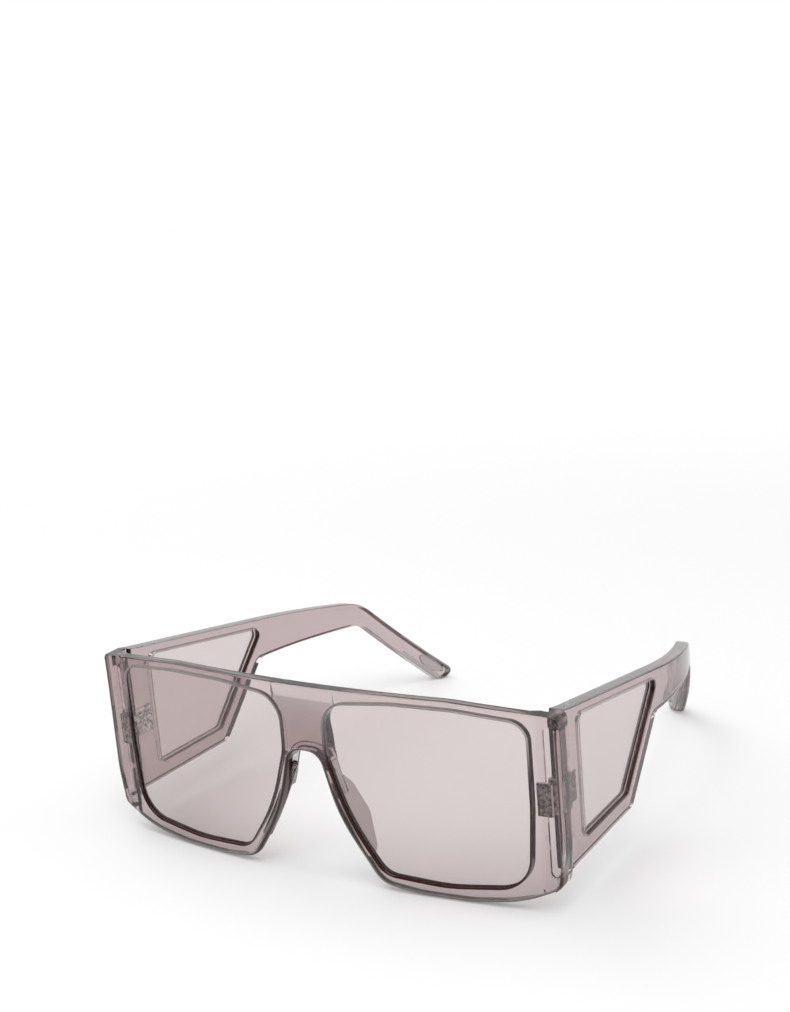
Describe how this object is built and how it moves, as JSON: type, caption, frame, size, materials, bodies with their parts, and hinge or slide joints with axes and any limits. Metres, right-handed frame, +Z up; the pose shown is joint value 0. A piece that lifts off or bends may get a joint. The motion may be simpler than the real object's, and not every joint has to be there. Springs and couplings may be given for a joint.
{
  "type": "sunglasses",
  "caption": "Oversized flat-top sunglasses in clear smoky plastic, with tinted lenses in the front and in both broad temples, which fold inwards on small metal hinges.",
  "frame": {"origin": "centre of the bounding box's bottom face: on the surface that the open glasses stand on, midway between the two sides and midway between the front and the temple tips", "axes": "+X towards the wearer's left, +Y back along the temples towards the ears, +Z up"},
  "size_m": [0.1482, 0.1482, 0.0562],
  "materials": {
    "frame": "polished clear smoky mauve plastic",
    "lens": "polished clear plastic with a pale pink-beige tint",
    "hinge": "tumbled bare metal",
    "screw": "bright turned metal"
  },
  "bodies": {
    "front": {"front_frame": "frame", "front_lens_left": "lens", "front_lens_right": "lens", "front_hinge_left": "hinge", "front_hinge_right": "hinge", "hinge_screw_left": "screw", "hinge_screw_right": "screw"},
    "left_temple": {"temple_left": "frame", "side_lens_left": "lens", "temple_hinge_left": "hinge"},
    "right_temple": {"temple_right": "frame", "side_lens_right": "lens", "temple_hinge_right": "hinge"}
  },
  "joints": [
    {"name": "left_temple_fold", "type": "hinge", "parent": "front", "child": "left_temple", "pos_m": [0.0699, -0.06262, 0.031], "axis": [0, 0, 1], "range_deg": [0, 78.5]},
    {"name": "right_temple_fold", "type": "hinge", "parent": "front", "child": "right_temple", "pos_m": [-0.0699, -0.06262, 0.031], "axis": [0, 0, -1], "range_deg": [0, 36]}
  ]
}
